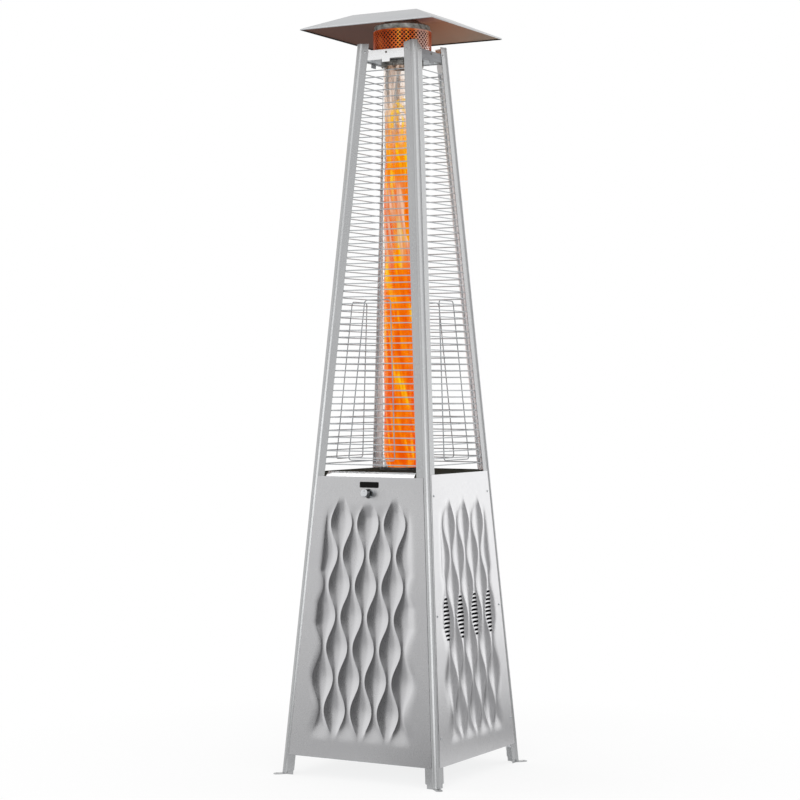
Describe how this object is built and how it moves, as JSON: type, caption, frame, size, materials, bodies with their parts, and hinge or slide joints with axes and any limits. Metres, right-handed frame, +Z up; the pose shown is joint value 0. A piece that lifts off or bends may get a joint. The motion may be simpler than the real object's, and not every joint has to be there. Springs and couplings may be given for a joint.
{
  "type": "pyramid patio heater",
  "caption": "Free-standing gas patio heater: a tapering steel tower with pressed base panels, a glass flame tube behind wire guards, a glowing emitter and a square reflector hood.",
  "frame": {"origin": "on the floor at the middle of the base", "axes": "+Z up; the front, with the knob and the tilting panel, faces -Y; +X is to the right of someone facing the front"},
  "size_m": [0.556, 0.556, 2.2253],
  "materials": {
    "steel": "satin stainless sheet",
    "panel_steel": "pressed stainless sheet",
    "hood_steel": "stainless reflector, heat-tinted below",
    "bright_steel": "bright stainless",
    "wire": "drawn wire, plated",
    "dark_steel": "dark heat-proof coating",
    "chrome": "polished",
    "glass": "clear heat-proof glass",
    "emitter": "perforated sheet, glowing",
    "brass": "plain",
    "ceramic": "glazed ceramic",
    "black_plastic": "moulded",
    "black_paint": "satin black"
  },
  "bodies": {
    "chassis": {"post_front_right": "steel", "post_back_right": "steel", "post_back_left": "steel", "post_front_left": "steel", "foot_front_right": "steel", "foot_back_right": "steel", "foot_back_left": "steel", "foot_front_left": "steel", "panel_right": "panel_steel", "panel_back": "panel_steel", "panel_left": "panel_steel", "cylinder_tray": "steel", "valve_bracket": "steel", "tube_collar": "steel", "top_plate": "steel", "hood_stud_1": "steel", "hood_stud_2": "steel", "hood_stud_3": "steel", "top_bar_front": "bright_steel", "top_bar_right": "bright_steel", "top_bar_back": "bright_steel", "top_bar_left": "bright_steel", "burner_head": "bright_steel", "guard_front": "wire", "guard_right": "wire", "guard_back": "wire", "guard_left": "wire", "stiffener_front": "wire", "stiffener_right": "wire", "stiffener_back": "wire", "stiffener_left": "wire", "deck_plate": "dark_steel", "burner_pan": "dark_steel", "tube_seat_ring": "dark_steel", "magnet_left": "dark_steel", "magnet_right": "dark_steel", "emitter_cap": "chrome", "hood_nut_1": "chrome", "hood_nut_2": "chrome", "hood_nut_3": "chrome", "hood": "hood_steel", "emitter_screen": "emitter", "glass_tube": "glass", "pilot_burner": "brass", "thermocouple": "brass", "gas_valve": "brass", "gas_inlet": "brass", "gas_pipe": "brass", "ignition_electrode": "ceramic", "piezo_igniter": "black_plastic", "tilt_switch": "black_plastic"},
    "front_door": {"front_panel": "panel_steel", "label_plate": "black_paint"},
    "knob_stem": {"stem_sleeve": "steel"},
    "knob": {"control_knob": "chrome", "valve_stem": "brass"}
  },
  "joints": [
    {"name": "door_tilt", "type": "hinge", "parent": "chassis", "child": "front_door", "pos_m": [0, -0.25295, 0.058], "axis": [1, 0, 0], "range_deg": [0, 45]},
    {"name": "knob_push", "type": "slide", "parent": "chassis", "child": "knob_stem", "axis": [0, 0.9972, -0.0748], "range_m": [0, 0.004], "stiffness_N_per_m": 800, "springref_m": -0.002},
    {"name": "knob_turn", "type": "hinge", "parent": "knob_stem", "child": "knob", "pos_m": [0, -0.18709, 0.819], "axis": [0, -0.9972, 0.0748], "range_deg": [0, 180]}
  ]
}
